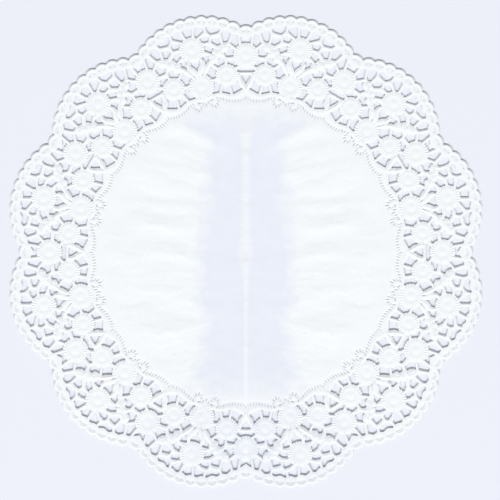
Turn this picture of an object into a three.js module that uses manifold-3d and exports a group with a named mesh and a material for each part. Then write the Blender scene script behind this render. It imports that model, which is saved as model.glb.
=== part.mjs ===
// A round paper doily, lying face up with one crease across its middle.
// It is one sheet of paper, punched in one stroke: a plain centre, then a lace band of
// daisies, leaves and thin bars with gaps between them, then a scalloped edge.
// The lace repeats round the sheet in lobes, and each lobe mirrors itself about its axis,
// so one half of one lobe is charted here. In the chart, "across" runs sideways from the
// lobe's axis and "out" runs along that axis from the middle of the sheet.
// Millimetres, +Z up, the top edge of the sheet towards +Y, the middle of the sheet at X = Y = 0.

import * as THREE from 'three';
import { mergeGeometries, mergeVertices } from 'three/addons/utils/BufferGeometryUtils.js';
import Module from 'manifold-3d';

const wasm = await Module();
wasm.setup();

// Sheet
const lobes = 12;
const lobeTurn = (2 * Math.PI) / lobes;
const dipTurn = lobeTurn / 2; // from a lobe's axis to the dip beside it
const barWidth = 0.9;
const petalStep = THREE.MathUtils.degToRad(28); // widest chord along a daisy's edge
const headroom = 1; // how far the cutting prisms stand past the sheet, above and below
const sameSpot = 1e-4; // points nearer to each other than this are one

// Scalloped edge: every lobe is an arc of scallops, and one more scallop fills each dip
const lobeCentre = 85;
const scallop = { centre: 38, radius: 4, pitch: THREE.MathUtils.degToRad(8.5) };
const scallopsPerHalf = 5;
const dipScallop = { centre: 114.4, radius: 4.8 };
const scallopSteps = 3;
const rimInside = 37.6; // centre line of the bar that closes the gaps under the scallops

// The crease: heights of the sheet's two faces over the table, by distance to either side of it.
// Past its ridge lies a shallow trough, and past that the sheet is a little puffed.
const creaseProfile = [
  { distance: 0, under: 1.3, over: 2.3 },
  { distance: 3.5, under: 0, over: 1 },
  { distance: 19, under: 0, over: 1 },
  { distance: 25, under: 0, over: 1.6 },
  { distance: 135, under: 0, over: 1.6 },
];

// Daisies of the half lobe, each with a raised button in its middle
const button = { radius: 2.2, rise: 0.4, sides: 6 };
const flowers = {
  outer: { across: 0, out: 110.1, radius: 6.4 },
  inner: { across: 0, out: 90.1, radius: 6.4 },
  side: { across: 14.4, out: 92.5, radius: 5.7 },
  dip: { across: 103.5 * Math.sin(dipTurn), out: 103.5 * Math.cos(dipTurn), radius: 6.4 },
};

// Ways to place a corner of the chart
function at(across, out) {
  return { point: new THREE.Vector2(across, out), flower: null };
}

function onRim(degrees) {
  const turn = THREE.MathUtils.degToRad(degrees);
  return at(rimInside * Math.sin(turn), lobeCentre + rimInside * Math.cos(turn));
}

function onDip(out) {
  return at(out * Math.sin(dipTurn), out * Math.cos(dipTurn));
}

function onFlower(name, degrees) {
  const { across, out, radius } = flowers[name];
  const turn = THREE.MathUtils.degToRad(degrees);
  const point = new THREE.Vector2(across + radius * Math.sin(turn), out + radius * Math.cos(turn));
  return { point, flower: name };
}

// Corners of the chart: where the centre lines of the bars meet each other, a daisy, a leaf or the rim
const corners = {
  rim1: onRim(5.9),
  rim2: onRim(14.5),
  rim3: onRim(29.8),
  rim4: onRim(38.9),
  rim5: onRim(43.7),
  rimDip: onDip(114.2),
  outer1: onFlower('outer', 20.5),
  outer2: onFlower('outer', 43),
  outer3: onFlower('outer', 150),
  inner1: onFlower('inner', 31),
  inner2: onFlower('inner', 74.5),
  side1: onFlower('side', 10.5),
  side2: onFlower('side', 69),
  side3: onFlower('side', 97),
  side4: onFlower('side', 117),
  side5: onFlower('side', 180),
  side6: onFlower('side', 222.3),
  side7: onFlower('side', 263.2),
  side8: onFlower('side', 316.5),
  dip1: onFlower('dip', 347.6),
  dip2: onFlower('dip', 316),
  dip3: onFlower('dip', 273),
  dip4: onFlower('dip', 226.3),
  joint1: at(9.2, 117.3),
  joint2: at(11.2, 114.5),
  joint3: at(10.1, 111.3),
  joint4: at(16.3, 114.6),
  joint5: at(16.1, 101.1),
  leafTip: at(19.6, 108.3),
  leafTop: at(16.2, 108.8),
  leafNotch: at(12, 107.6),
  leafFoot: at(8.1, 100),
  leafUnder: at(15.1, 103.8),
  leafBelly: at(17.8, 105.4),
  budSide: at(3.1, 101.1),
  budFoot: at(0, 96.9),
  band1: at(8.6, 83.9),
  band2: at(14.4, 80.9),
  band3: at(21.5, 82.7),
  dipBudSide: at(20, 87),
  dipBudInside: at(22, 87.5),
  dipBudFoot: onDip(86.7),
  dipBar: onDip(94.1),
  dipBarEnd: at(21.3, 91.6),
};

// Gaps, by the corners round them. A gap "beside" the axis has a twin on its other side.
// One on the "axis" or on the "dip" line lists one half, which is mirrored about that line.
const gaps = [
  { where: 'axis', round: ['rim1', 'outer1'] },
  { where: 'axis', round: ['outer3', 'budSide', 'budFoot'] },
  { where: 'dip', round: ['rimDip', 'rim5', 'dip1'] },
  { where: 'dip', round: ['dipBar', 'side3', 'side2', 'dip4'] },
  { where: 'dip', round: ['dipBar', 'dipBarEnd', 'dipBudInside', 'dipBudFoot'] },
  { where: 'beside', round: ['rim1', 'outer1', 'outer2', 'joint1', 'rim2'] },
  { where: 'beside', round: ['rim2', 'joint1', 'joint2', 'joint4', 'rim3'] },
  { where: 'beside', round: ['rim3', 'joint4', 'leafTop', 'leafTip', 'rim4'] },
  { where: 'beside', round: ['rim4', 'leafTip', 'dip2', 'dip1', 'rim5'] },
  { where: 'beside', round: ['joint4', 'joint2', 'joint3', 'leafNotch', 'leafTop'] },
  { where: 'beside', round: ['leafTip', 'leafBelly', 'leafUnder', 'joint5', 'dip3', 'dip2'] },
  { where: 'beside', round: ['leafUnder', 'leafFoot', 'side8', 'side1', 'joint5'] },
  { where: 'beside', round: ['leafFoot', 'inner1', 'inner2', 'side7', 'side8'] },
  { where: 'beside', round: ['side6', 'band1', 'band2', 'side5'] },
  { where: 'beside', round: ['side5', 'band2', 'band3', 'dipBudSide', 'side4'] },
];

// The corner's mirror image about a line through the middle of the sheet
function mirrored(corner, lineTurn) {
  const line = new THREE.Vector2(Math.sin(lineTurn), Math.cos(lineTurn));
  const point = line.multiplyScalar(2 * corner.point.dot(line)).sub(corner.point);
  return { point, flower: corner.flower };
}

// All the corners round a gap, with the mirrored half of a gap that lies on a line
function ringOf(gap) {
  const ring = gap.round.map((name) => corners[name]);
  if (gap.where === 'beside') return ring;
  const lineTurn = gap.where === 'axis' ? 0 : dipTurn;
  const twins = ring.map((corner) => mirrored(corner, lineTurn)).reverse();
  const apart = (corner, i) => corner.point.distanceTo(ring[ring.length - 1 - i].point) > sameSpot;
  return [...ring, ...twins.filter(apart)];
}

// Points round a daisy's edge from one corner on it to another, the shorter way
function petalPoints(from, to) {
  const flower = from.flower;
  const centre = flowerCentre(from);
  const start = from.point.clone().sub(centre);
  const turn = start.angleTo(to.point.clone().sub(centre));
  const way = Math.sign(start.cross(to.point.clone().sub(centre)));
  const steps = Math.ceil(turn / petalStep);
  return Array.from({ length: steps }, (_, i) => {
    const point = start.clone().rotateAround(new THREE.Vector2(), (way * turn * i) / steps);
    return { point: point.add(centre), flower };
  });
}

// A mirrored corner may lie on the daisy's twin across the dip, so the nearer of the two counts
function flowerCentre(corner) {
  const { across, out, radius } = flowers[corner.flower];
  const own = at(across, out);
  const centres = [own, mirrored(own, dipTurn)].map(({ point }) => point);
  return centres.find((centre) => Math.abs(centre.distanceTo(corner.point) - radius) < sameSpot);
}

function sharesFlower(from, to) {
  if (!from.flower || from.flower !== to.flower) return false;
  return flowerCentre(from).distanceTo(flowerCentre(to)) < sameSpot;
}

// The gap's own outline: its bars are drawn in by half their width, its daisies are not
function outlineOf(gap) {
  const ring = ringOf(gap);
  const edges = [];
  ring.forEach((corner, i) => {
    const next = ring[(i + 1) % ring.length];
    if (!sharesFlower(corner, next)) {
      edges.push({ from: corner.point, to: next.point, inset: barWidth / 2 });
      return;
    }
    const stops = [...petalPoints(corner, next).map(({ point }) => point), next.point];
    for (let s = 1; s < stops.length; s += 1) edges.push({ from: stops[s - 1], to: stops[s], inset: 0 });
  });
  const side = THREE.ShapeUtils.area(ring.map(({ point }) => point)) > 0 ? 1 : -1;
  return edges.map((edge, i) => {
    const before = edges[(i + edges.length - 1) % edges.length];
    return meetingPoint(shifted(before, side), shifted(edge, side));
  });
}

function shifted({ from, to, inset }, side) {
  const along = to.clone().sub(from).normalize();
  const inward = new THREE.Vector2(-along.y, along.x).multiplyScalar(side * inset);
  return { from: from.clone().add(inward), along };
}

function meetingPoint(first, second) {
  const distance = second.from.clone().sub(first.from).cross(second.along) / first.along.cross(second.along);
  return first.from.clone().addScaledVector(first.along, distance);
}

// The chart turned to its place: lobe k has its axis half a turn of a lobe past the k-th dip
function placed(points, k) {
  const turn = -(dipTurn + k * lobeTurn);
  return points.map((point) => point.clone().rotateAround(new THREE.Vector2(), turn));
}

function mirroredPoints(points) {
  return points.map(({ x, y }) => new THREE.Vector2(-x, y)).reverse();
}

// Scallops of one lobe and the dip after it, in order round the edge
function scallopsOfLobe() {
  const circles = [];
  for (let i = -scallopsPerHalf; i < scallopsPerHalf; i += 1) {
    const turn = (i + 0.5) * scallop.pitch;
    const { point } = at(scallop.centre * Math.sin(turn), lobeCentre + scallop.centre * Math.cos(turn));
    circles.push({ centre: point, radius: scallop.radius });
  }
  circles.push({ centre: onDip(dipScallop.centre).point, radius: dipScallop.radius });
  return circles;
}

// Where two neighbouring scallops meet, on the side away from the middle of the sheet
function cuspOf(first, second) {
  const between = second.centre.clone().sub(first.centre);
  const gap = between.length();
  const along = (gap ** 2 + first.radius ** 2 - second.radius ** 2) / (2 * gap);
  const height = Math.sqrt(first.radius ** 2 - along ** 2);
  const outward = new THREE.Vector2(-between.y, between.x).normalize();
  return first.centre.clone().addScaledVector(between.normalize(), along).addScaledVector(outward, height);
}

function edgeOutline() {
  const circles = [];
  for (let k = 0; k < lobes; k += 1) {
    for (const { centre, radius } of scallopsOfLobe()) {
      circles.push({ centre: placed([centre], k)[0], radius });
    }
  }
  const points = [];
  circles.forEach((circle, i) => {
    const before = circles[(i + circles.length - 1) % circles.length];
    const after = circles[(i + 1) % circles.length];
    const start = cuspOf(before, circle).sub(circle.centre);
    const end = cuspOf(circle, after).sub(circle.centre);
    const turn = -start.angleTo(end);
    for (let s = 0; s < scallopSteps; s += 1) {
      const arm = start.clone().rotateAround(new THREE.Vector2(), (turn * s) / scallopSteps);
      points.push(arm.add(circle.centre));
    }
  });
  return points;
}

function gapOutlines() {
  const outlines = [];
  for (let k = 0; k < lobes; k += 1) {
    for (const gap of gaps) {
      const outline = outlineOf(gap);
      outlines.push(placed(outline, k));
      if (gap.where === 'beside') outlines.push(placed(mirroredPoints(outline), k));
    }
  }
  return outlines;
}

function buttonOutline({ across, out }) {
  return Array.from({ length: button.sides }, (_, i) => {
    const turn = (2 * Math.PI * i) / button.sides;
    return at(across + button.radius * Math.sin(turn), out + button.radius * Math.cos(turn)).point;
  });
}

// The buttons of all the daisies. Only the side daisy has a twin in its own lobe.
function buttonOutlines() {
  const outlines = [];
  for (let k = 0; k < lobes; k += 1) {
    for (const [name, flower] of Object.entries(flowers)) {
      const outline = buttonOutline(flower);
      outlines.push(placed(outline, k));
      if (name === 'side') outlines.push(placed(mirroredPoints(outline), k));
    }
  }
  return outlines;
}

// Outlines raised to prisms that are taller than the creased sheet
function prismsOf(outlines) {
  const depth = creaseProfile[0].over + button.rise + 2 * headroom;
  const prisms = outlines.map((outline) => {
    const prism = new THREE.ExtrudeGeometry(new THREE.Shape(outline), { depth, bevelEnabled: false });
    return prism.translate(0, 0, -headroom);
  });
  return mergeGeometries(prisms);
}

// Both halves of the crease's profile, from left to right, at the height that a row gives
function acrossCrease(heightOf) {
  const half = creaseProfile.map((row) => new THREE.Vector2(row.distance, heightOf(row)));
  const otherHalf = half.slice(1).map(({ x, y }) => new THREE.Vector2(-x, y)).reverse();
  return [...otherHalf, ...half];
}

// A slab that follows the crease and is wider than the sheet, between two faces
function creasedSlab(bottomOf, topOf) {
  const length = 2 * creaseProfile[creaseProfile.length - 1].distance;
  const shape = new THREE.Shape([...acrossCrease(bottomOf), ...acrossCrease(topOf).reverse()]);
  const slab = new THREE.ExtrudeGeometry(shape, { depth: length, bevelEnabled: false });
  return slab.rotateX(Math.PI / 2).translate(0, length / 2, 0);
}

function toSolid(geometry) {
  geometry.deleteAttribute('normal');
  geometry.deleteAttribute('uv');
  const merged = mergeVertices(geometry, sameSpot);
  const vertProperties = Float32Array.from(merged.attributes.position.array);
  const triVerts = Uint32Array.from(merged.index.array);
  return new wasm.Manifold(new wasm.Mesh({ numProp: 3, vertProperties, triVerts }));
}

function toGeometry(solid) {
  const mesh = solid.getMesh();
  const geometry = new THREE.BufferGeometry();
  geometry.setAttribute('position', new THREE.BufferAttribute(mesh.vertProperties, 3));
  geometry.setIndex(new THREE.BufferAttribute(mesh.triVerts, 1));
  return geometry;
}

function paper() {
  return new THREE.MeshStandardMaterial({ color: 0xfafcfd, roughness: 0.9, metalness: 0 });
}

const creased = toSolid(creasedSlab(({ under }) => under, ({ over }) => over));
const cutRound = creased.intersect(toSolid(prismsOf([edgeOutline()])));
const punched = cutRound.subtract(toSolid(prismsOf(gapOutlines())));
const midway = ({ under, over }) => (under + over) / 2;
const buttonTops = toSolid(creasedSlab(midway, ({ over }) => over + button.rise));
const buttons = toSolid(prismsOf(buttonOutlines())).intersect(buttonTops);
const doily = new THREE.Mesh(toGeometry(punched.add(buttons)), paper());
doily.name = 'doily';

const part = new THREE.Group();
part.add(doily);

export default part;
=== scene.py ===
"""A round paper doily, seen from straight above: one thin sheet with punched and pressed lace.

The lace repeats round the sheet in lobes, and each lobe mirrors itself about its axis, so one
half of one lobe is charted. In the chart, "across" runs sideways from the lobe's axis and "out"
runs along that axis from the middle of the sheet. A distance field says how far a point of the
chart lies outside the paper, below zero on it, and the outlines are the lines where it is zero.
Chart sizes are in millimetres and the scene is in metres.
"""

import math

import bpy
import numpy as np
from mathutils import Euler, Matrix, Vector
from mathutils.geometry import delaunay_2d_cdt


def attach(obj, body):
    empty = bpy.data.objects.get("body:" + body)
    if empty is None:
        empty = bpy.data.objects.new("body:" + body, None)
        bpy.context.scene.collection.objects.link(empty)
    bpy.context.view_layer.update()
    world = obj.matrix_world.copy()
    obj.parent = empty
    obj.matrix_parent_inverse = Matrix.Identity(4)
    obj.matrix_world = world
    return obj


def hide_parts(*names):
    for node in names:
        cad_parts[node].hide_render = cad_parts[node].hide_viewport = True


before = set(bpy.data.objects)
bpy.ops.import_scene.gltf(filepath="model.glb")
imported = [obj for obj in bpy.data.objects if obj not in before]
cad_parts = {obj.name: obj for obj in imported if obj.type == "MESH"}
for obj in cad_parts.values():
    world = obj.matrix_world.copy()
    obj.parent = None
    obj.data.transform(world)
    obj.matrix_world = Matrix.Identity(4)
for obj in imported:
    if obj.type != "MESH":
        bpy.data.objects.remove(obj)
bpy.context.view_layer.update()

MM = 0.001

# Sheet
LOBES = 12
DIP_TURN = math.pi / LOBES  # from a lobe's axis to the dip beside it
PAPER = 0.16  # thickness of the paper
REST = 0.3  # height of the sheet's underside in the troughs beside the crease
DISC_RADIUS = 76.0  # the plain middle, meshed apart from the lace

# Lace: bars between daisies, leaves, buds and the rim
BAR_HALF_WIDTH = 0.42
SPREAD = 0.24  # how far the paper reaches past the charted forms, into the gaps
FILLET = 0.16  # rounding of the corners between charted forms
EDGE_ROUNDING = 0.1  # rounding of the slits between scallops
LOBE_CENTRE = 85.0
RIM_CORNERS = 37.6  # distance of the bars' outer ends from the lobe's centre
RIM_INSIDE = 37.0  # past this distance the paper is whole
DAISIES = {  # across, out, radius, petals
    "outer": (0.0, 110.1, 6.4, 26),
    "inner": (0.0, 90.1, 6.4, 26),
    "side": (14.4, 92.5, 5.7, 24),
    "dip": (103.5 * math.sin(DIP_TURN), 103.5 * math.cos(DIP_TURN), 6.4, 26),
}
PETAL_RIPPLE = 0.12

# Scallops and the discs that back them: distance of their centres from the lobe's centre or, in
# the dip, from the middle of the sheet, and their radius
SCALLOPS_PER_HALF = 5
SCALLOP_PITCH = math.radians(8.5)
SCALLOP = (38.0, 4.0)
SCALLOP_DISC = (39.1, 2.95)
DIP_SCALLOP = (114.4, 4.8)
DIP_DISC = (116.3, 2.95)
FAN = 38.4  # distance at which the rays of a scallop's fan would meet
DIP_FAN = 115.6


def on_rim(degrees):
    turn = math.radians(degrees)
    return RIM_CORNERS * math.sin(turn), LOBE_CENTRE + RIM_CORNERS * math.cos(turn)


def on_dip(out):
    return out * math.sin(DIP_TURN), out * math.cos(DIP_TURN)


def on_daisy(name, degrees):
    across, out, radius, _ = DAISIES[name]
    turn = math.radians(degrees)
    return across + radius * math.sin(turn), out + radius * math.cos(turn)


# Corners of the chart, where the centre lines of the bars meet each other or end
CORNERS = {
    "rim1": on_rim(5.9),
    "rim2": on_rim(14.5),
    "rim3": on_rim(29.8),
    "rim4": on_rim(38.9),
    "rim5": on_rim(43.7),
    "outer1": on_daisy("outer", 20.5),
    "outer2": on_daisy("outer", 43),
    "outer3": on_daisy("outer", 79),
    "outer4": on_daisy("outer", 117.5),
    "outer5": on_daisy("outer", 150),
    "inner2": on_daisy("inner", 74.5),
    "side1": on_daisy("side", 10.5),
    "side2": on_daisy("side", 69),
    "side3": on_daisy("side", 97),
    "side4": on_daisy("side", 124),
    "side5": on_daisy("side", 180),
    "side6": on_daisy("side", 222.3),
    "side7": on_daisy("side", 263.2),
    "side8": on_daisy("side", 319),
    "dip1": on_daisy("dip", 347.6),
    "dip2": on_daisy("dip", 316),
    "dip3": on_daisy("dip", 273),
    "dip4": on_daisy("dip", 226.3),
    "joint1": (9.2, 117.3),
    "joint2": (11.2, 114.5),
    "joint3": (10.1, 111.3),
    "joint4": (16.3, 114.6),
    "joint5": (16.1, 101.1),
    "leafTip": (19.6, 108.3),
    "leafTop": (16.2, 108.8),
    "leafNotch": (12.6, 108.0),
    "leafBack": (9.1, 105.0),
    "leafUnder": (15.1, 103.8),
    "leafFoot": (8.1, 100.0),
    "budTop": (4.0, 102.5),
    "band1": (8.6, 83.9),
    "band2": (14.4, 80.9),
    "dipBudTop": (20.5, 89.3),
    "dipBar": on_dip(94.1),
}
BARS = [
    "rim1 outer1",
    "rim2 joint1 outer2",
    "joint1 joint2 joint3 outer3",
    "rim3 joint4 joint2",
    "joint4 leafTop",
    "joint3 leafNotch",
    "rim4 leafTip dip2",
    "rim5 dip1",
    "outer4 leafBack",
    "outer5 budTop",
    "leafUnder joint5 dip3",
    "joint5 side1",
    "side2 dip4",
    "leafFoot side8",
    "inner2 side7",
    "side6 band1",
    "side5 band2",
    "side4 dipBudTop",
    "side3 dipBar",
]

# Leaves and buds, as strokes with rows of across, out, half width
STEM = [(7.0, 100.9, 0.9), (5.35, 98.85, 1.2), (3.9, 97.2, 1.1), (3.1, 96.0, 0.6)]
VEIN = [(7.0, 100.9, 0.7), (12.0, 104.2, 1.7), (16.5, 107.0, 1.7), (19.4, 108.6, 0.6)]
LEAFLETS = [
    [(9.6, 103.2, 1.2), (9.3, 103.7, 1.5)],
    [(12.0, 105.0, 1.4), (11.7, 105.8, 1.5)],
    [(14.6, 106.3, 1.4), (14.6, 107.3, 1.4)],
    [(16.6, 107.3, 1.2), (16.8, 108.1, 1.3)],
    [(10.2, 102.1, 1.0), (10.8, 101.5, 1.1)],
    [(13.6, 104.6, 1.2), (14.1, 103.9, 1.25)],
    [(16.9, 106.0, 1.3), (18.2, 106.6, 0.85)],
]
BUD = [
    (0.9, 96.4, 1.1),
    (2.0, 98.5, 1.55),
    (3.2, 100.1, 1.45),
    (3.75, 101.4, 1.05),
    (3.8, 102.7, 0.95),
    (3.2, 104.2, 0.4),
]
DIP_BUD = [
    (22.0, 82.4, 0.9),
    (21.5, 84.7, 1.15),
    (20.9, 86.4, 1.35),
    (20.6, 88.2, 1.0),
    (20.6, 90.1, 0.8),
    (21.0, 91.6, 0.6),
]

# Webs that widen the bars, as strokes too
WEBS = [
    [(7.9, 116.1, 0.5), (9.2, 116.6, 0.6)],
    [(11.4, 114.2, 0.65), (16.0, 114.2, 0.65)],
    [(8.4, 110.9, 0.45), (9.9, 110.6, 0.55), (12.2, 108.5, 0.9)],
    [(5.0, 106.2, 0.65), (7.2, 106.1, 0.6)],
    [(8.6, 100.9, 0.8), (9.8, 101.0, 0.75)],
    [(15.4, 102.2, 0.55), (14.9, 103.2, 0.6)],
    [(16.3, 100.5, 0.6), (19.8, 100.1, 0.45)],
]

# Outline of the band that closes the lace towards the plain middle
BAND_ROUNDING = 0.55
BAND_EDGE = [
    (-5, 84.4),
    (3.6, 84.4),
    (5.0, 84.0),
    (8.6, 83.9),
    (14.4, 80.9),
    (21.5, 82.7),
    (23.0, 84.6),
]
BAND = [*BAND_EDGE, (26, 84.6), (26, 60), (-5, 60)]


def stroke(points, start, end):
    """Distance to a stroke whose half width changes evenly between two rows."""
    a = np.array(start[:2])
    along = np.array(end[:2]) - a
    share = np.clip((points - a) @ along / (along @ along), 0, 1)
    near = a + share[:, None] * along
    return np.hypot(*(points - near).T) - (start[2] + share * (end[2] - start[2]))


def strokes(points, rows):
    return np.min([stroke(points, a, b) for a, b in zip(rows, rows[1:])], axis=0)


def circle(points, centre, radius):
    return np.hypot(*(points - centre).T) - radius


def polygon(points, corners):
    """Distance to a polygon, below zero inside it."""
    corners = np.array(corners, float)
    nearest = np.full(len(points), np.inf)
    inside = np.zeros(len(points), bool)
    x, y = points.T
    for a, b in zip(corners, np.roll(corners, -1, axis=0)):
        nearest = np.minimum(nearest, stroke(points, (*a, 0), (*b, 0)))
        if a[1] != b[1]:
            crossing = a[0] + (y - a[1]) / (b[1] - a[1]) * (b[0] - a[0])
            inside ^= ((a[1] > y) != (b[1] > y)) & (x < crossing)
    return np.where(inside, -nearest, nearest)


def daisy_polar(points, name):
    """Distance from the daisy's middle, and the turn round it from its line of symmetry."""
    across, out, _, _ = DAISIES[name]
    arm = points - (across, out)
    start = DIP_TURN if name == "dip" else 0
    return np.hypot(*arm.T), np.arctan2(arm[:, 0], arm[:, 1]) - start


def daisy(points, name):
    _, _, radius, petals = DAISIES[name]
    distance, turn = daisy_polar(points, name)
    return distance - radius - PETAL_RIPPLE * np.cos(petals * turn)


def scallop_places(distance, dip_distance):
    """Centres and outward turns of the half lobe's scallops, and of the one in the dip."""
    places = []
    for i in range(SCALLOPS_PER_HALF):
        turn = (i + 0.5) * SCALLOP_PITCH
        places.append((distance * math.sin(turn), LOBE_CENTRE + distance * math.cos(turn), turn))
    places.append((*on_dip(dip_distance), DIP_TURN))
    return places


def bar_lines():
    for bar in BARS:
        names = bar.split()
        for a, b in zip(names, names[1:]):
            yield CORNERS[a], CORNERS[b]


def paper_parts(points):
    for a, b in bar_lines():
        yield stroke(points, (*a, BAR_HALF_WIDTH), (*b, BAR_HALF_WIDTH))
    for name in DAISIES:
        yield daisy(points, name)
    for rows in (STEM, VEIN, BUD, DIP_BUD, *LEAFLETS, *WEBS):
        yield strokes(points, rows)
    yield polygon(points, BAND) - BAND_ROUNDING
    yield RIM_INSIDE - np.hypot(*(points - (0, LOBE_CENTRE)).T)
    for across, out, _ in scallop_places(SCALLOP_DISC[0], DIP_DISC[0]):
        yield circle(points, (across, out), SCALLOP_DISC[1])


def edge_parts(points):
    *lobe, dip = scallop_places(SCALLOP[0], DIP_SCALLOP[0])
    for across, out, _ in lobe:
        yield circle(points, (across, out), SCALLOP[1])
    yield circle(points, dip[:2], DIP_SCALLOP[1])
    yield circle(points, (0, LOBE_CENTRE), SCALLOP[0])


def merged(distances, rounding):
    """The union of several forms, with the corners between them rounded."""
    distances = np.array(list(distances))
    nearest = distances.min(axis=0)
    return nearest - rounding * np.log(np.exp((nearest - distances) / rounding).sum(axis=0))


def outside_paper(points):
    """Distance from the paper of the charted half lobe, below zero on it."""
    paper = merged(paper_parts(points), FILLET) - SPREAD
    return np.maximum(paper, merged(edge_parts(points), EDGE_ROUNDING))


# Pressed and raised forms

# Dashes of the pressed line round the middle: across, out, tilt in degrees, darkness
DASHES = [
    (0.0, 80.45, 0, 0.82),
    (1.45, 81.4, 2, 0.67),
    (3.4, 82.2, 67, 0.89),
    (2.65, 80.25, 40, 0.53),
    (3.2, 78.9, 12, 0.62),
    (4.6, 78.4, 0, 0.82),
    (5.95, 79.2, -28, 0.77),
    (6.6, 80.5, -38, 0.53),
    (6.6, 82.35, -20, 0.72),
    (8.1, 81.7, -6, 0.62),
    (9.5, 81.05, 0, 0.77),
    (10.9, 80.15, -3, 0.58),
    (12.3, 79.4, -5, 0.62),
    (13.75, 78.85, -2, 0.62),
    (15.2, 78.4, 4, 0.62),
    (16.75, 78.15, 0, 0.67),
    (18.3, 78.05, -4, 0.58),
    (19.65, 78.2, -4, 0.48),
    (21.1, 78.6, 12, 0.62),
]
DASH_HALF_LENGTH = 0.66
DASH_HALF_WIDTH = 0.36

DAISY_BUTTON = 2.1
DAISY_RING = 2.7
PETAL_START = 3.2
GROOVES = [  # across and out at both ends, half width, darkness: leaf's veins, stem, buds
    (8.8, 102.2, 11.2, 103.6, 0.4, 0.28),
    (11.2, 103.6, 14.0, 106.1, 0.34, 0.22),
    (14.0, 106.1, 17.2, 107.6, 0.4, 0.28),
    (10.9, 103.6, 10.4, 105.2, 0.28, 0.18),
    (14.0, 105.8, 13.1, 107.0, 0.28, 0.18),
    (11.3, 103.9, 12.4, 102.6, 0.28, 0.18),
    (14.6, 106.1, 15.5, 104.7, 0.28, 0.18),
    (2.0, 95.95, 2.5, 96.6, 0.34, 0.7),
    (3.2, 101.3, 3.6, 99.9, 0.28, 0.15),
    (21.6, 88.0, 20.3, 85.9, 0.28, 0.2),
]
FAN_RAYS = [(1.7, 0.95, 0.55), (0.62, 1.6, 0.45)]  # sideways either way, outwards, darkness
FAN_START = 0.66  # share of a ray's way from the fan's foot where its mark starts
FAN_RAY_HALF_WIDTH = 0.33

# Depth of the pressed forms where they are darkest, and how dark the daisies' rings and pleats are
PRESSED_DEPTH = 0.32
RING_DARKNESS = 0.3
RING_HALF_WIDTH = 0.5
PLEAT_DARKNESS = 0.55
PLEATS_DEEPEN = (PETAL_START - 0.5, PETAL_START + 2.2)  # distance from the daisy's middle
PLEATS_FADE = 0.6  # distance past the petals

# Raised forms: ridges as height and half width, and the leaves' dome as height and the distance
# over which it rises from their edge
BAR_RIDGE = (0.14, 0.5)
RIM_RIDGE = (0.13, 0.55)
RIM_RIDGE_PLACE = 0.62  # in from the scalloped edge
BAND_RIDGE = (0.17, 0.6)
BAND_RIDGE_PLACE = 0.5  # in from the band's outline
LEAF_DOME = (0.36, 1.1)
BUTTON_HEIGHT = 0.11
BUTTON_SLOPE = (0.7, DAISY_BUTTON + 0.4)  # distance from the daisy's middle
PETALS_HEIGHT = 0.14
PETALS_PLACE = 0.7  # share of the daisy's radius
PETALS_HALF_WIDTH = 0.27  # share of the daisy's radius
CUT_EDGE_DROP = (0.1, 0.45)  # how far the cut edges are turned down, and over what distance
RELIEF_RISES = 1.5  # distance over which the relief starts past the plain middle


def swell(distance, width):
    """A smooth ridge of height 1 along the line that the distance is measured from."""
    return np.exp(-((distance / width) ** 2))


def step(values, low, high):
    share = np.clip((values - low) / (high - low), 0, 1)
    return share * share * (3 - 2 * share)


def marks():
    """Start, end, half width and darkness of each short mark of the die in the charted half lobe."""
    for across, out, tilt, darkness in DASHES:
        turn = math.radians(tilt)
        middle = np.array((across, out))
        half = DASH_HALF_LENGTH * np.array((math.sin(turn), math.cos(turn)))
        yield middle - half, middle + half, DASH_HALF_WIDTH, darkness
    for across, out, turn in scallop_places(FAN, DIP_FAN):
        foot = np.array((across, out))
        side = np.array((math.cos(turn), -math.sin(turn)))
        ahead = np.array((math.sin(turn), math.cos(turn)))
        for sideways, outwards, darkness in FAN_RAYS:
            for arm in (outwards * ahead - sideways * side, outwards * ahead + sideways * side):
                yield foot + FAN_START * arm, foot + arm, FAN_RAY_HALF_WIDTH, darkness
    for *ends, half_width, darkness in GROOVES:
        yield np.array(ends[:2]), np.array(ends[2:]), half_width, darkness


def line_distance(points, lines):
    return np.min([stroke(points, (*a, 0), (*b, 0)) for a, b in lines], axis=0)


def pressed_depth(points):
    """How deep the die pressed the paper, from 0 to 1."""
    depth = np.zeros(len(points))
    for start, end, half_width, darkness in marks():
        depth = np.maximum(depth, darkness * swell(stroke(points, (*start, 0), (*end, 0)), half_width))
    for name, (_, _, radius, petals) in DAISIES.items():
        distance, turn = daisy_polar(points, name)
        ring = RING_DARKNESS * swell(distance - DAISY_RING, RING_HALF_WIDTH)
        between = 0.5 - 0.5 * np.cos(petals * turn)
        pleats = PLEAT_DARKNESS * between * step(distance, *PLEATS_DEEPEN)
        pleats = pleats * (1 - step(distance, radius, radius + PLEATS_FADE))
        depth = np.maximum(depth, np.maximum(ring, pleats))
    return depth


def ridge(distance, form):
    height, half_width = form
    return height * swell(distance, half_width)


def dome(inside, form):
    height, rise = form
    return height * step(inside, 0, rise)


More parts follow.
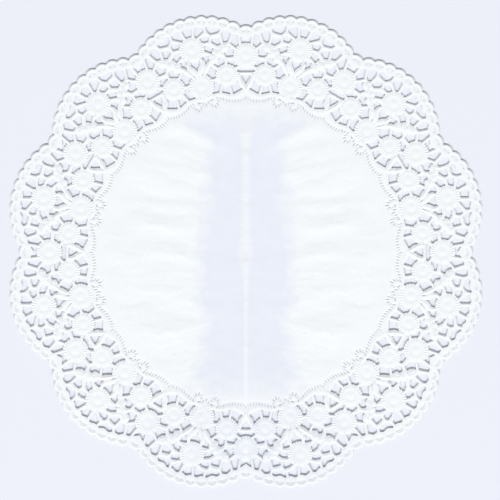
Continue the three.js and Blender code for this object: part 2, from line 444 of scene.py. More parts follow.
def raised_height(points, inside):
    """Height of the rounded forms over the plain paper, in millimetres."""
    height = ridge(line_distance(points, bar_lines()), BAR_RIDGE)
    for name, (_, _, radius, _) in DAISIES.items():
        distance, _ = daisy_polar(points, name)
        button = BUTTON_HEIGHT * (1 - step(distance, *BUTTON_SLOPE))
        petals = PETALS_HEIGHT * swell(distance - PETALS_PLACE * radius, PETALS_HALF_WIDTH * radius)
        height = np.maximum(height, np.maximum(button, petals))
    for rows in (STEM, VEIN, *LEAFLETS, BUD, DIP_BUD):
        height = np.maximum(height, dome(-strokes(points, rows), LEAF_DOME))
    rim = -merged(edge_parts(points), EDGE_ROUNDING)
    height = np.maximum(height, ridge(rim - RIM_RIDGE_PLACE, RIM_RIDGE))
    band = polygon(points, BAND) + BAND_RIDGE_PLACE
    height = np.maximum(height, ridge(band, BAND_RIDGE))
    drop, over = CUT_EDGE_DROP
    return height - drop * (1 - step(inside, 0, over))


def lace_relief(points):
    """Height in millimetres at points of the charted half lobe."""
    inside = np.maximum(-outside_paper(points), 0)
    height = raised_height(points, inside) - PRESSED_DEPTH * pressed_depth(points)
    return height * step(np.hypot(*points.T), DISC_RADIUS, DISC_RADIUS + RELIEF_RISES)


# Meshing. The chart is unrolled: "turned" is the turn from the axis as a length at UNROLLED_AT, and
# "reach" is the distance from the middle, so both lines of symmetry are upright there.

UNROLLED_AT = 100.0
CHART_WIDTH = DIP_TURN * UNROLLED_AT
CHART_TOP = 128.5
RIM_STRETCH = 1.2  # how much longer a turn is at the rim than in the chart
FIELD_STEP = 0.15  # of the grid on which the distance field is worked out
SAME_POINT = FIELD_STEP / 10
ON_SEAM = 1e-4
SHAPE_TOLERANCE = 0.025  # how far a thinned outline may lie from the one in the field
LONGEST_EDGE = 1.1  # along the outlines
NEAREST_TO_EDGE = 0.24
NEAREST_POINTS = 0.34
LATTICE = 1.25  # step of the even filling
LATTICE_ROWS = 0.87 * LATTICE  # distance between its rows
LATTICE_CLEAR = 0.62 * LATTICE  # distance of the filling from all other points
LINE_STEP = 0.8  # of points along bars, leaves and seams
BAND_STEP = 1.0
SCALLOP_POINTS = 26
DIP_SCALLOP_POINTS = 32
DISC_SIDES_PER_HALF = 12  # sides of the plain middle's edge in each half lobe
TRIANGLES_INSIDE = 1  # the kind of output wanted from the triangulation
TRIANGLE_EPSILON = 1e-5

# Rings of mesh points on a daisy: distances from its middle, and shares of its radius
POINTS_ON_BUTTON = 1.0
POINTS_ON_RING = DAISY_RING + 0.05
POINTS_WHERE_PLEATS_START = PETAL_START + 0.35
POINTS_ON_PETALS = (0.76, 0.95)


def rolled(chart):
    """Chart points (turned, reach) as (across, out)."""
    turn = chart[:, 0] / UNROLLED_AT
    return np.stack((chart[:, 1] * np.sin(turn), chart[:, 1] * np.cos(turn)), 1)


def unrolled(points):
    return np.stack((np.arctan2(points[:, 0], points[:, 1]) * UNROLLED_AT, np.hypot(*points.T)), 1)


def zero_lines(values, turned, reach):
    """The lines through a grid of values where they pass zero, closed or from side to side."""
    inside = values < 0
    places, links = {}, {}

    def crossing(a, b):
        if (a, b) not in places:
            share = values[a] / (values[a] - values[b])
            start = np.array((turned[a[0]], reach[a[1]]))
            places[a, b] = start + share * (np.array((turned[b[0]], reach[b[1]])) - start)
        return a, b

    def link(a, b):
        links.setdefault(a, []).append(b)
        links.setdefault(b, []).append(a)

    count = inside[:-1, :-1].astype(int) + inside[1:, :-1] + inside[:-1, 1:] + inside[1:, 1:]
    for i, j in np.argwhere((count > 0) & (count < 4)).tolist():
        low, right, high, left = (i, j), (i + 1, j), (i + 1, j + 1), (i, j + 1)
        sides = [(low, right), (right, high), (left, high), (low, left)]
        crossed = [crossing(a, b) for a, b in sides if inside[a] != inside[b]]
        for start in range(0, len(crossed), 2):
            link(crossed[start], crossed[start + 1])

    lines = []
    ends = [key for key, others in links.items() if len(others) == 1]
    for first in ends + list(links):
        if first not in links:
            continue
        line, key = [places[first]], first
        while links.get(key):
            following = links[key].pop()
            links[following].remove(key)
            if not links[key]:
                del links[key]
            line.append(places[following])
            key = following
        links.pop(key, None)
        lines.append(np.array(line))
    return lines


def thinned(line):
    """The line with only the points that its shape needs."""
    if len(line) < 3:
        return line
    start, end = line[0], line[-1]
    length = np.hypot(*(end - start))
    if length > SAME_POINT:
        side = np.array((end[1] - start[1], start[0] - end[0])) / length
        offsets = np.abs((line - start) @ side)
    else:
        offsets = np.hypot(*(line - start).T)
    far = int(offsets.argmax())
    if offsets[far] < SHAPE_TOLERANCE:
        return line[[0, -1]]
    return np.vstack((thinned(line[: far + 1]), thinned(line[far:])[1:]))


def stepped(line, longest):
    """The line with extra points, so that no stretch of it is longer than that."""
    points = [line[:1]]
    for a, b in zip(line, line[1:]):
        count = max(1, math.ceil(np.hypot(*(b - a)) / longest))
        points.append(a + np.arange(1, count + 1)[:, None] / count * (b - a))
    return np.vstack(points)


def spaced(points, taken, distance):
    """The points that are at least that far from each other and from the taken ones."""
    kept = list(taken)
    first = len(kept)
    for point in points:
        near = np.array(kept) - point
        if np.hypot(*near.T).min() >= distance:
            kept.append(point)
    return np.array(kept[first:]).reshape(-1, 2)


def ring_points(centre, radius, count, start):
    turns = start + 2 * math.pi * np.arange(count) / count
    return np.array(centre) + radius * np.stack((np.sin(turns), np.cos(turns)), 1)


def daisy_points():
    for name, (across, out, radius, petals) in DAISIES.items():
        start = DIP_TURN if name == "dip" else 0
        rows = [  # distance and number of points
            (0, 1),
            (POINTS_ON_BUTTON, 6),
            (DAISY_BUTTON, petals // 2),
            (POINTS_ON_RING, petals),
            (POINTS_WHERE_PLEATS_START, 2 * petals),
            *((share * radius, 2 * petals) for share in POINTS_ON_PETALS),
        ]
        for distance, count in rows:
            yield ring_points((across, out), distance, count, start)


def mark_points():
    for start, end, half_width, _ in marks():
        along = (end - start) / np.hypot(*(end - start))
        side = 2 * half_width * np.array((along[1], -along[0]))
        middle = (start + end) / 2
        yield np.array((start, middle, end, start + side, start - side, end + side, end - side))


def rim_points():
    *lobe, dip = scallop_places(SCALLOP[0], DIP_SCALLOP[0])
    for across, out, turn in lobe:
        yield ring_points((across, out), SCALLOP[1] - RIM_RIDGE_PLACE, SCALLOP_POINTS, turn)
    radius = DIP_SCALLOP[1] - RIM_RIDGE_PLACE
    yield ring_points(dip[:2], radius, DIP_SCALLOP_POINTS, DIP_TURN)


def line_points():
    for a, b in bar_lines():
        yield stepped(np.array((a, b)), LINE_STEP)
    for rows in (STEM, BUD, DIP_BUD, *LEAFLETS):
        yield stepped(np.array(rows)[:, :2], LINE_STEP)
    yield stepped(np.array(BAND_EDGE, float) - (0, BAND_RIDGE_PLACE), BAND_STEP)


def lattice_points():
    """Even filling between the forms, in rows that are offset by half a step."""
    rows = np.arange(DISC_RADIUS + LATTICE, CHART_TOP, LATTICE_ROWS)
    for i, reach in enumerate(rows):
        turned = np.arange((i % 2) * LATTICE / 2, CHART_WIDTH, LATTICE)
        yield rolled(np.stack((turned, np.full(len(turned), reach)), 1))


def charted(groups):
    """Points in the chart, with those beside a line of symmetry moved onto it."""
    chart = unrolled(np.vstack(list(groups)))
    near = NEAREST_POINTS / 2
    chart = chart[(chart > (-near, DISC_RADIUS + near)).all(axis=1)]
    chart = chart[chart[:, 0] < CHART_WIDTH + near]
    chart[:, 0] = np.where(np.abs(chart[:, 0]) < near, 0, chart[:, 0])
    chart[:, 0] = np.where(np.abs(chart[:, 0] - CHART_WIDTH) < near, CHART_WIDTH, chart[:, 0])
    return chart[outside_paper(rolled(chart)) < -NEAREST_TO_EDGE]


def triangulated(points, loops):
    points = [Vector(point) for point in points]
    return delaunay_2d_cdt(points, [], loops, TRIANGLES_INSIDE, TRIANGLE_EPSILON)


def mesh_half_lobe():
    """Chart points and triangles of the charted half lobe's paper."""
    turned = np.linspace(0, CHART_WIDTH, round(CHART_WIDTH * RIM_STRETCH / FIELD_STEP))
    reach = np.arange(DISC_RADIUS, CHART_TOP, FIELD_STEP)
    grid = np.stack(np.meshgrid(turned, reach, indexing="ij"), -1)
    values = outside_paper(rolled(grid.reshape(-1, 2))).reshape(grid.shape[:2])
    outlines = []
    for line in zero_lines(values, turned, reach):
        outlines.append(stepped(thinned(line), LONGEST_EDGE))

    (edge,) = [line for line in outlines if abs(line[0, 0] - line[-1, 0]) > CHART_WIDTH / 2]
    rim = edge if edge[0, 0] < edge[-1, 0] else edge[::-1]
    gaps = []
    for line in outlines:
        if len(line) > 3 and line is not edge:
            closed = np.hypot(*(line[0] - line[-1])) < SAME_POINT
            gaps.append(line[:-1] if closed else line)

    foot = np.linspace((0, DISC_RADIUS), (CHART_WIDTH, DISC_RADIUS), DISC_SIDES_PER_HALF + 1)
    outline = np.vstack((foot, rim[::-1]))
    fixed = np.vstack((outline, *gaps))

    lines = [np.array(((x, DISC_RADIUS), (x, CHART_TOP))) for x in (0, CHART_WIDTH)]
    seams = [rolled(stepped(line, LINE_STEP)) for line in lines]
    detail = charted((*mark_points(), *daisy_points(), *rim_points(), *line_points()))
    inner = spaced(detail, fixed, NEAREST_POINTS)
    filling = charted((*seams, *lattice_points()))
    inner = np.vstack((inner, spaced(filling, np.vstack((fixed, inner)), LATTICE_CLEAR)))

    faces = []
    start = 0
    for loop in (outline, *gaps):
        following = np.roll(loop, -1, axis=0)
        area = np.dot(loop[:, 0], following[:, 1]) - np.dot(loop[:, 1], following[:, 0])
        indices = list(range(start, start + len(loop)))
        faces.append(indices if area > 0 else indices[::-1])
        start += len(loop)
    made, _, triangles, _, _, within = triangulated(np.vstack((fixed, inner)), faces)
    kept = [triangle for triangle, loops in zip(triangles, within) if loops == [0]]
    used, kept = np.unique(np.array(kept), return_inverse=True)
    return np.array([made[i][:] for i in used]), kept.reshape(-1, 3)


# Crease and wrinkles, in millimetres on the whole sheet

CREASE_HEIGHT = 1.2
CREASE_HALF_WIDTH = 8.0
CREASE_HOLLOW = 1.5  # exponent that hollows its flanks
CREASE_FADES = (52, 90)  # distance from the middle where the crease runs out into the lace
CREASE_LEFT = 0.15  # share of the crease's height that is left past that
PUFF = 0.44  # how much higher the paper lies past the troughs
PUFFED = (15, 27)  # distance from the crease over which it rises
LEAN = -0.001  # added to PUFF for each millimetre up, so the paper lies lower towards the top
LACE_LIFTED = (46, 80)  # distance from the middle where the paper rises to the lace
LACE_LOW = 6.0  # distance from the crease within which the lace lies lower
# The troughs' lavender tone is painted shade; these edges, their ends and the patches bound where it
# is painted.
TROUGH_EDGES = [  # up, distance of the trough's edge from the crease
    (-73, 31),
    (-70, 31),
    (-61.7, 25.3),
    (-42, 20.5),
    (-26, 24.2),
    (7, 23.7),
    (27, 21),
    (46, 19.5),
    (56, 18),
    (67, 30),
    (73, 31),
]
TROUGH_END = DISC_RADIUS - 1  # distance from the middle
TROUGH_END_SLOPE = 0.6  # how fast the depth grows in from there, where 1 is as at the sides
PATCHES = [  # fainter painted shade past the troughs' ends: up, half width, half height, greatest depth
    (-122, 26, 34, 0.5),
    (-130, 80, 50, -1.5),
]
CREST_EDGES = [  # up, distance to which the crease looks white, its painted trough shade taken away
    (-76, 1.6),
    (-18, 1.8),
    (-8, 3.2),
    (-3, 6.0),
    (1, 6.0),
    (6, 4.6),
    (27, 3.6),
    (46, 3.2),
    (58, 4.0),
    (66, 6.5),
    (73, 10),
]
WRINKLES = [  # across and up at both ends, half width, height; each has a twin across the crease
    (17, 57.5, 36, 66, 2.6, 0.16),
    (20, 53.0, 40, 60, 2.8, -0.06),
    (24, 41.5, 60, 46, 3.2, 0.08),
    (30, 28.0, 52, 30, 2.4, -0.12),
    (27, 23.5, 66, 27, 3.0, 0.08),
    (31, 17.5, 48, 20.5, 1.5, -0.12),
    (25, 12.0, 62, 17, 2.8, 0.08),
    (35, 6.5, 50, 9, 2.0, -0.12),
    (24, -1.5, 58, 1, 3.4, 0.1),
    (28, -8.0, 52, -6, 2.8, -0.14),
    (22, -29.0, 40, -22, 3.0, 0.14),
    (26, -34.5, 44, -32, 2.6, -0.16),
    (36, -44.0, 56, -38, 3.0, 0.12),
    (19, -51.0, 34, -47, 2.6, 0.12),
    (28, -59.0, 46, -55, 2.8, -0.16),
    (9, -70.5, 15, -67, 0.9, -0.2),
    (13, -72.0, 19, -68, 0.8, 0.14),
]
DISC_COLUMNS = [0, 0.8, 1.7, 2.7, 3.7, 5.2, 7.6]  # distances from the crease where they are close
CLOSE_ROWS = 2.7  # distance from the crease up to which points in a column are close too
DISC_STEP = 2.3
DISC_CLEAR = 0.7  # distance of the disc's own points from its edge


def trough_shade_depth(x, y):
    """Distance in from the edge of the painted trough shade or, past the end of the middle, of a
    fainter patch of it.
    """
    ups, edges = np.array(TROUGH_EDGES, float).T
    from_end = TROUGH_END_SLOPE * (TROUGH_END - np.hypot(x, y))
    trough_shade = np.minimum(np.interp(y, ups, edges) - np.abs(x), from_end)
    for up, half_width, half_height, deepest in PATCHES:
        patch = half_width * (1 - np.hypot(x / half_width, (y - up) / half_height))
        trough_shade = np.maximum(trough_shade, np.minimum(patch, deepest))
    return trough_shade


def crest_share(x, y):
    """1 on the crease, falling to 0 where the paper beside it stops looking white; it takes the
    painted trough shade off the crease.
    """
    ups, edges = np.array(CREST_EDGES).T
    return 1 - np.abs(x) / np.interp(y, ups, edges)


def folds_height(x, y):
    reach = np.hypot(x, y)
    crease = CREASE_HEIGHT * np.clip(1 - np.abs(x) / CREASE_HALF_WIDTH, 0, 1) ** CREASE_HOLLOW
    crease = crease * (1 - (1 - CREASE_LEFT) * step(reach, *CREASE_FADES))
    lifted = step(reach, *LACE_LIFTED) * step(np.abs(x), -LACE_LOW, LACE_LOW)
    puff = (PUFF + LEAN * y) * np.maximum(step(np.abs(x), *PUFFED), lifted)
    height = crease + puff
    right = np.stack((np.abs(x), y), 1)
    for *ends, half_width, rise in WRINKLES:
        height += rise * swell(stroke(right, (*ends[:2], 0), (*ends[2:], 0)), half_width)
    return height


def mesh_disc(edge):
    """Points and triangles of the plain middle, inside the closed line of edge points."""
    wide_apart = np.arange(DISC_COLUMNS[-1] + DISC_STEP, DISC_RADIUS, DISC_STEP)
    columns = np.concatenate((DISC_COLUMNS, wide_apart))
    columns = np.concatenate((-columns[:0:-1], columns))
    points = []
    for i, x in enumerate(columns):
        gap = DISC_STEP if abs(x) > CLOSE_ROWS else DISC_STEP / 2
        points += [(x, y) for y in np.arange(-DISC_RADIUS + (i % 2) * gap / 2, DISC_RADIUS, gap)]
    points = np.array(points)
    points = points[np.hypot(*points.T) < DISC_RADIUS - DISC_CLEAR]
    points = np.vstack((edge, points))
    faces = [list(range(len(edge)))[::-1]]
    _, _, triangles, sources, _, _ = triangulated(points, faces)
    order = np.array([source[0] for source in sources])
    return points, order[np.array(triangles)]


# The whole sheet

SHARP_ANGLE = math.radians(22)
PLEAT_MATCH = 0.8  # least product of the pleats' wave at both ends of an edge along a pleat


def lace_ring():
    """Points of the lace all round, their relief, its triangles and its points along the disc."""
    chart, triangles = mesh_half_lobe()
    height = lace_relief(rolled(chart))
    on_axis = chart[:, 0] < ON_SEAM
    on_dip_line = chart[:, 0] > CHART_WIDTH - ON_SEAM
    on_foot = np.flatnonzero(chart[:, 1] < DISC_RADIUS + ON_SEAM)
    on_foot = on_foot[chart[on_foot, 0].argsort()]
    halves = 2 * LOBES
    ids = np.arange(halves * len(chart)).reshape(halves, len(chart))
    points, faces, foot = [], [], []
    for half in range(halves):
        mirrored = half % 2 == 0
        turn = chart[:, 0] / UNROLLED_AT
        turn = (half + 1) * DIP_TURN - turn if mirrored else half * DIP_TURN + turn
        points.append(np.stack((chart[:, 1] * np.sin(turn), chart[:, 1] * np.cos(turn)), 1))
        seam = on_axis if mirrored else on_dip_line
        ids[(half + 1) % halves, seam] = ids[half, seam]
    for half in range(halves):
        mirrored = half % 2 == 0
        faces.append(ids[half][triangles[:, ::-1] if mirrored else triangles])
        row = ids[half][on_foot[::-1] if mirrored else on_foot]
        foot.append(row[:-1])
    return np.vstack(points), np.tile(height, halves), np.vstack(faces), np.concatenate(foot)


def sheet_face():
    """Points and triangles of the sheet's upper face, in millimetres."""
    points, height, faces, foot = lace_ring()
    disc, disc_faces = mesh_disc(points[foot])
    disc_ids = np.concatenate((foot, len(points) + np.arange(len(disc) - len(foot))))
    faces = np.vstack((faces, disc_ids[disc_faces]))
    points = np.vstack((points, disc[len(foot) :]))
    height = np.concatenate((height, np.zeros(len(disc) - len(foot))))

    used, faces = np.unique(faces, return_inverse=True)
    faces = faces.reshape(-1, 3)
    points, height = points[used], height[used]
    a, b, c = points[faces].transpose(1, 0, 2)
    flipped = np.cross(b - a, c - a) < 0
    faces[flipped] = faces[flipped][:, ::-1]
    height = height + folds_height(*points.T)
    return np.column_stack((points, height)), faces


def folded(x, y):
    """Sheet points as points of the charted half lobe."""
    turn = np.arctan2(x, y) % (2 * DIP_TURN)
    turn = np.abs(turn - DIP_TURN)
    reach = np.hypot(x, y)
    return np.stack((reach * np.sin(turn), reach * np.cos(turn)), -1)


def mark_places(corners):
    """Where each corner of each triangle lies in the mark nearest to the triangle, and its darkness,
    which sets the mark's painted shade and bump.

    The first two values are 0 in the mark's middle and their length is 1 on its edge.
    """
    middles = corners.mean(axis=1)
    nearest = np.full(len(middles), np.inf)
    places = np.zeros(corners.shape[:2] + (3,))
    for start, end, half_width, darkness in marks():
        middle = (start + end) / 2
        length = np.hypot(*(end - start))
        along = (end - start) / length
        distance = stroke(middles, (*start, half_width), (*end, half_width))
        closer = distance < nearest
        nearest = np.minimum(nearest, distance)
        arm = corners[closer] - middle
        places[closer, :, 0] = arm @ along / (length / 2 + half_width)
        places[closer, :, 1] = arm @ np.array((along[1], -along[0])) / half_width
        places[closer, :, 2] = darkness
    return places


def daisy_places(corners):
    """Where each corner of each triangle lies from the middle of the nearest daisy, and its petals."""
    middles = corners.mean(axis=1)
    nearest = np.full(len(middles), np.inf)
    places = np.zeros(corners.shape[:2] + (3,))
    for name, (_, _, radius, petals) in DAISIES.items():
        distance, _ = daisy_polar(middles, name)
        closer = distance - radius < nearest
        nearest = np.minimum(nearest, distance - radius)
        distance, turn = daisy_polar(corners[closer].reshape(-1, 2), name)
        share = distance / radius
        rows = np.stack((share * np.sin(turn), share * np.cos(turn), np.full(len(turn), petals)), 1)
        places[closer] = rows.reshape(-1, 3, 3)
    return places


def add_values(mesh, name, kind, domain, values):
    attribute = mesh.attributes.new(name, kind, domain)
    field = "vector" if kind == "FLOAT_VECTOR" else "value"
    attribute.data.foreach_set(field, values.astype(np.float32).ravel())


def pleat_edges(mesh, points):
    """Which edges run along the crest or the bottom of a petal's pleat."""
    ends = np.zeros(2 * len(mesh.edges), np.int32)
    mesh.edges.foreach_get("vertices", ends)
    crisp = np.zeros(len(mesh.edges), bool)
    for name, (_, _, radius, petals) in DAISIES.items():
        distance, turn = daisy_polar(points, name)
        on_petal = (distance > PETAL_START) & (distance < radius + SPREAD)
        wave = np.where(on_petal, np.cos(petals * turn), 0)
        start, end = wave[ends].reshape(-1, 2).T
        crisp |= start * end > PLEAT_MATCH
    return crisp


def add_shading_values(mesh, x, y, faces):
    """What the paper's material reads for its painted shade and bumps, at the points of both faces and
    the upper face's corners.
    """
    add_values(mesh, "trough_shade", "FLOAT", "POINT", np.tile(trough_shade_depth(x, y), 2))
    add_values(mesh, "crest", "FLOAT", "POINT", np.tile(crest_share(x, y), 2))
    corners = folded(x[faces], y[faces])
    for name, places in (("mark", mark_places(corners)), ("daisy", daisy_places(corners))):
        values = np.zeros((len(mesh.loops), 3))
        values[: faces.size] = places.reshape(-1, 3)
        add_values(mesh, name, "FLOAT_VECTOR", "CORNER", values)


def shade(mesh, points):
    """Smooth faces that meet crisply at the cut edges and along the pleats."""
    mesh.shade_smooth()
    mesh.set_sharp_from_angle(angle=SHARP_ANGLE)
    sharp = np.zeros(len(mesh.edges), bool)
    mesh.attributes["sharp_edge"].data.foreach_get("value", sharp)
    sharp |= pleat_edges(mesh, points)
    mesh.attributes["sharp_edge"].data.foreach_set("value", sharp)


def closed_sheet():
    """The sheet as a closed body: its upper face, the same face below and the cut edges."""
    top, faces = sheet_face()
    x, y = top[:, 0], top[:, 1]
    count = len(top)
    top[:, 2] += REST + PAPER
    bottom = top - (0, 0, PAPER)
    edges = np.vstack((faces[:, [0, 1]], faces[:, [1, 2]], faces[:, [2, 0]]))
    forward = edges[:, 0] * count + edges[:, 1]
    backward = edges[:, 1] * count + edges[:, 0]
    cut = edges[~np.isin(forward, backward)]
    walls = np.column_stack((cut[:, 0] + count, cut[:, 1] + count, cut[:, 1], cut[:, 0]))
    polygons = [*faces.tolist(), *(faces[:, ::-1] + count).tolist(), *walls.tolist()]

    mesh = bpy.data.meshes.new("doily_sheet")
    mesh.from_pydata((np.vstack((top, bottom)) * MM).tolist(), [], polygons)
    add_shading_values(mesh, x, y, faces)
    shade(mesh, np.tile(folded(x, y), (2, 1)))
    sheet = bpy.data.objects.new("doily_sheet", mesh)
    bpy.context.scene.collection.objects.link(sheet)
    return sheet


# Finish

PAPER_DARK = (0.9, 0.925, 0.935, 1)
PAPER_LIGHT = (0.945, 0.965, 0.97, 1)
# painted lavender shade of the troughs beside the crease, on the next line
TROUGH_SHADE_COLOUR = (0.825, 0.85, 0.925, 1)
# painted shade of the pressed marks, pleats and rings, on the next line
PRESSED_SHADE_COLOUR = (0.6, 0.62, 0.68, 1)
FLOOR_COLOUR = (0.86, 0.875, 0.93, 1)
PAPER_ROUGHNESS = 0.85
PAPER_SPECULAR = 0.2
FLOOR_ROUGHNESS = 0.9
FLOOR_SPECULAR = 0.1

# Noises of the paper: scale for metres, detail
GRAIN = (1500, 2)
CLOUDS = (140, 4)
FINE_WRINKLES = (72, 2)
NOISE_MIDDLE = 0.5
GRAIN_RANGE = (0.25, 0.75)

# The finest wrinkles run outwards from the crease, fanned out up and down
WRINKLES_SQUEEZED = 0.3  # across, so that they come out long
WRINKLES_FAN = 3.5  # how much steeper they rise for each metre up
WRINKLES_RISE = 0.08  # how steeply they rise at mid height
WRINKLES_STRAY = 0.006  # metres that the clouds shift them
WRINKLES_START = (0.078, 0.07)  # metres from the middle, on the way in from the lace
WRINKLES_SMOOTHED = 0.8  # share of them that the troughs take away

# Painted lavender shade of the troughs beside the crease
TROUGH_STRAY = 12.0  # millimetres within which the clouds shift the troughs' edges
TROUGH_RANGE = (-5.5, 5.5)  # millimetres in from the edge
TROUGH_CLOUDS = (0.2, 0.8, 0.75, 1.0)  # range of the clouds and of the tone that they leave
CREST_STRAY = 0.5  # how much of the clouds is added to the crest
CREST_RANGE = (0.25, 1.2)
CREST_WHITENS = 0.75  # share of the troughs' painted shade that the crest takes away

# Painted shade of the pressed forms. Places in a mark are 1 on its edge, and in a daisy at its radius.
MARK_RANGE = (1.25, 0.6)
PETAL_RANGES = ((0.42, 0.6), (1.1, 1.0))
RING_RANGES = ((0.3, 0.44), (0.58, 0.46))
PETAL_SHADE = 0.04
RING_SHADE = 0.04

# Bumps: the height in metres of a full one, and the share of it that each form takes
BUMP_HEIGHT = 0.0009
GRAIN_BUMP = 0.025
MARK_BUMP = -0.1
PETAL_BUMP = -0.03
RING_BUMP = -0.015


class Shading:
    """Small helpers that add nodes to one material and return the wanted output."""

    def __init__(self, name):
        self.material = bpy.data.materials.new(name)
        self.material.use_nodes = True
        self.nodes = self.material.node_tree.nodes
        self.links = self.material.node_tree.links
        self.shader = self.nodes["Principled BSDF"]

    def put(self, socket, value):
        if isinstance(value, bpy.types.NodeSocket):
            self.links.new(value, socket)
        else:
            socket.default_value = value

    def math(self, operation, *values):
        node = self.nodes.new("ShaderNodeMath")
        node.operation = operation
        for socket, value in zip(node.inputs, values):
            self.put(socket, value)
        return node.outputs["Value"]

    def attribute(self, name, output="Fac"):
        node = self.nodes.new("ShaderNodeAttribute")
        node.attribute_name = name
        return node.outputs[output]

    def noise(self, place, scale, detail):
        node = self.nodes.new("ShaderNodeTexNoise")
        node.inputs["Scale"].default_value = scale
        node.inputs["Detail"].default_value = detail
        self.put(node.inputs["Vector"], place)
        return node.outputs["Fac"]

    def ramp(self, value, low, high, at_low=0.0, at_high=1.0):
        node = self.nodes.new("ShaderNodeMapRange")
        node.interpolation_type = "SMOOTHSTEP"
        self.put(node.inputs["Value"], value)
        settings = {"From Min": low, "From Max": high, "To Min": at_low, "To Max": at_high}
        for socket, setting in settings.items():
            self.put(node.inputs[socket], setting)
        return node.outputs["Result"]

    def mix(self, factor, below, above):
        node = self.nodes.new("ShaderNodeMix")
        node.data_type = "RGBA"
        self.put(node.inputs[0], factor)
        self.put(node.inputs[6], below)
        self.put(node.inputs[7], above)
        return node.outputs[2]

    def length(self, x, y):
        squares = self.math("ADD", self.math("MULTIPLY", x, x), self.math("MULTIPLY", y, y))
        return self.math("SQRT", squares)

    def split(self, vector):
        node = self.nodes.new("ShaderNodeSeparateXYZ")
        self.put(node.inputs["Vector"], vector)
        return node.outputs

    def join(self, x, y, z=0.0):
        node = self.nodes.new("ShaderNodeCombineXYZ")
        for socket, value in zip(node.inputs, (x, y, z)):
            self.put(socket, value)
        return node.outputs["Vector"]


def paper_material():
    """Bright, faintly blue paper, with painted shade in the pressed lines and the daisies' pleats and
    rings, and a painted lavender shade in the troughs, mostly taken off the crest.
    """
    paper = Shading("paper")
    paper.shader.inputs["Roughness"].default_value = PAPER_ROUGHNESS
    paper.shader.inputs["Specular IOR Level"].default_value = PAPER_SPECULAR

    place = paper.nodes.new("ShaderNodeTexCoord").outputs["Object"]
    x, y, _ = paper.split(place)
    across = paper.math("ABSOLUTE", x)
    mirrored = paper.join(across, y)
    grain = paper.noise(place, *GRAIN)
    clouds = paper.noise(mirrored, *CLOUDS)

    rise = paper.math("MULTIPLY_ADD", y, WRINKLES_FAN, WRINKLES_RISE)
    level = paper.math("SUBTRACT", y, paper.math("MULTIPLY", across, rise))
    level = paper.math("MULTIPLY_ADD", clouds, WRINKLES_STRAY, level)
    squeezed = paper.math("MULTIPLY", across, WRINKLES_SQUEEZED)
    wrinkles = paper.noise(paper.join(squeezed, level), *FINE_WRINKLES)
    wrinkles = paper.math("SUBTRACT", wrinkles, NOISE_MIDDLE)
    plain = paper.ramp(paper.length(x, y), *WRINKLES_START)

    # painted lavender shade in the troughs, shifted by the clouds and mostly taken off the crest
    trough_shade = paper.math("SUBTRACT", paper.attribute("trough_shade"), TROUGH_STRAY / 2)
    trough_shade = paper.math("MULTIPLY_ADD", clouds, TROUGH_STRAY, trough_shade)
    trough_shade = paper.ramp(trough_shade, *TROUGH_RANGE)
    trough_shade = paper.math("MULTIPLY", trough_shade, paper.ramp(clouds, *TROUGH_CLOUDS))
    crest = paper.math("MULTIPLY_ADD", clouds, CREST_STRAY, paper.attribute("crest"))
    crest = paper.ramp(crest, *CREST_RANGE)
    trough_shade = paper.math("MULTIPLY", trough_shade, paper.math("MULTIPLY_ADD", crest, -CREST_WHITENS, 1.0))

    # painted shade in the pressed marks, and in the daisies' pleats and rings
    u, v, darkness = paper.split(paper.attribute("mark", "Vector"))
    mark = paper.math("MULTIPLY", paper.ramp(paper.length(u, v), *MARK_RANGE), darkness)
    sideways, ahead, petals = paper.split(paper.attribute("daisy", "Vector"))
    share = paper.length(sideways, ahead)
    turn = paper.math("MULTIPLY", paper.math("ARCTAN2", sideways, ahead), petals)
    between = paper.math("MULTIPLY_ADD", paper.math("COSINE", turn), -0.5, 0.5)
    petal = paper.math("MULTIPLY", *(paper.ramp(share, *ends) for ends in PETAL_RANGES))
    petal = paper.math("MULTIPLY", between, petal)
    ring = paper.math("MULTIPLY", *(paper.ramp(share, *ends) for ends in RING_RANGES))
    flower_shade = paper.math("MULTIPLY", ring, RING_SHADE)
    flower_shade = paper.math("MULTIPLY_ADD", petal, PETAL_SHADE, flower_shade)
    pressed = paper.math("MAXIMUM", mark, flower_shade)

    # the paper's own grain, then painted shade: lavender in the troughs and grey in the pressed forms
    colour = paper.mix(paper.ramp(grain, *GRAIN_RANGE), PAPER_DARK, PAPER_LIGHT)
    colour = paper.mix(trough_shade, colour, TROUGH_SHADE_COLOUR)
    colour = paper.mix(pressed, colour, PRESSED_SHADE_COLOUR)
    paper.put(paper.shader.inputs["Base Color"], colour)

    left = paper.math("MULTIPLY_ADD", trough_shade, -WRINKLES_SMOOTHED, 1.0)
    height = paper.math("MULTIPLY", paper.math("MULTIPLY", wrinkles, left), plain)
    bumps = ((grain, GRAIN_BUMP), (mark, MARK_BUMP), (petal, PETAL_BUMP), (ring, RING_BUMP))
    for form, share_of_bump in bumps:
        height = paper.math("MULTIPLY_ADD", form, share_of_bump, height)
    bump = paper.nodes.new("ShaderNodeBump")
    bump.inputs["Strength"].default_value = 1.0
    bump.inputs["Distance"].default_value = BUMP_HEIGHT
    paper.put(bump.inputs["Height"], height)
    paper.put(paper.shader.inputs["Normal"], bump.outputs["Normal"])
    return paper.material


def floor_material():
    floor = Shading("floor")
    floor.shader.inputs["Base Color"].default_value = FLOOR_COLOUR
    floor.shader.inputs["Roughness"].default_value = FLOOR_ROUGHNESS
    floor.shader.inputs["Specular IOR Level"].default_value = FLOOR_SPECULAR
    return floor.material


# Stage

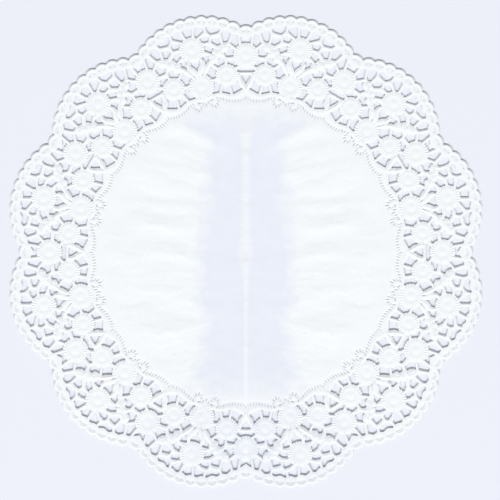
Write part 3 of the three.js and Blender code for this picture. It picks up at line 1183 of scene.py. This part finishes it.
PHOTO_SIDE = 500
PHOTO_PIXEL = 0.5268  # millimetres on the sheet
PHOTO_MIDDLE = (245.9, 251.9)  # the middle of the sheet in the photograph
CAMERA_LENS = 135
CAMERA_CLIP = 0.01  # metres
FLOOR_HALF_SIDE = 3.0
LAMP_ELEVATION = math.radians(40)
LAMP_DISTANCE = 20.0
LAMP_LENGTH = 30.0
LAMP_WIDTH = 1.4
LAMP_POWER = 4960
SKY_COLOUR = (0.93, 0.95, 1.0, 1)
SKY_STRENGTH = 0.42


def add_floor():
    side = FLOOR_HALF_SIDE
    mesh = bpy.data.meshes.new("floor")
    corners = [(-side, -side, 0), (side, -side, 0), (side, side, 0), (-side, side, 0)]
    mesh.from_pydata(corners, [], [(0, 1, 2, 3)])
    mesh.materials.append(floor_material())
    floor = bpy.data.objects.new("floor", mesh)
    bpy.context.scene.collection.objects.link(floor)


def add_camera():
    camera = bpy.data.cameras.new("camera")
    camera.lens = CAMERA_LENS
    camera.clip_start = CAMERA_CLIP
    holder = bpy.data.objects.new("camera", camera)
    height = PHOTO_SIDE * PHOTO_PIXEL * MM * CAMERA_LENS / camera.sensor_width
    x = (PHOTO_SIDE / 2 - PHOTO_MIDDLE[0]) * PHOTO_PIXEL * MM
    y = (PHOTO_MIDDLE[1] - PHOTO_SIDE / 2) * PHOTO_PIXEL * MM
    holder.location = (x, y, height)
    bpy.context.scene.collection.objects.link(holder)
    bpy.context.scene.camera = holder


def add_light():
    """A long, narrow lamp, far out past the picture's lower edge, and a pale sky."""
    lamp = bpy.data.lights.new("lamp", "AREA")
    lamp.shape = "RECTANGLE"
    lamp.size = LAMP_LENGTH
    lamp.size_y = LAMP_WIDTH
    lamp.energy = LAMP_POWER
    holder = bpy.data.objects.new("lamp", lamp)
    aside = LAMP_DISTANCE * math.cos(LAMP_ELEVATION)
    holder.location = (0, -aside, LAMP_DISTANCE * math.sin(LAMP_ELEVATION))
    holder.rotation_euler = Euler((math.pi / 2 - LAMP_ELEVATION, 0, 0))
    bpy.context.scene.collection.objects.link(holder)
    world = bpy.data.worlds.new("world")
    world.use_nodes = True
    sky = world.node_tree.nodes["Background"]
    sky.inputs["Color"].default_value = SKY_COLOUR
    sky.inputs["Strength"].default_value = SKY_STRENGTH
    bpy.context.scene.world = world


doily = closed_sheet()
doily.data.materials.append(paper_material())
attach(doily, "root")
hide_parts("doily")
add_floor()
add_camera()
add_light()
bpy.context.scene.view_settings.view_transform = "Standard"
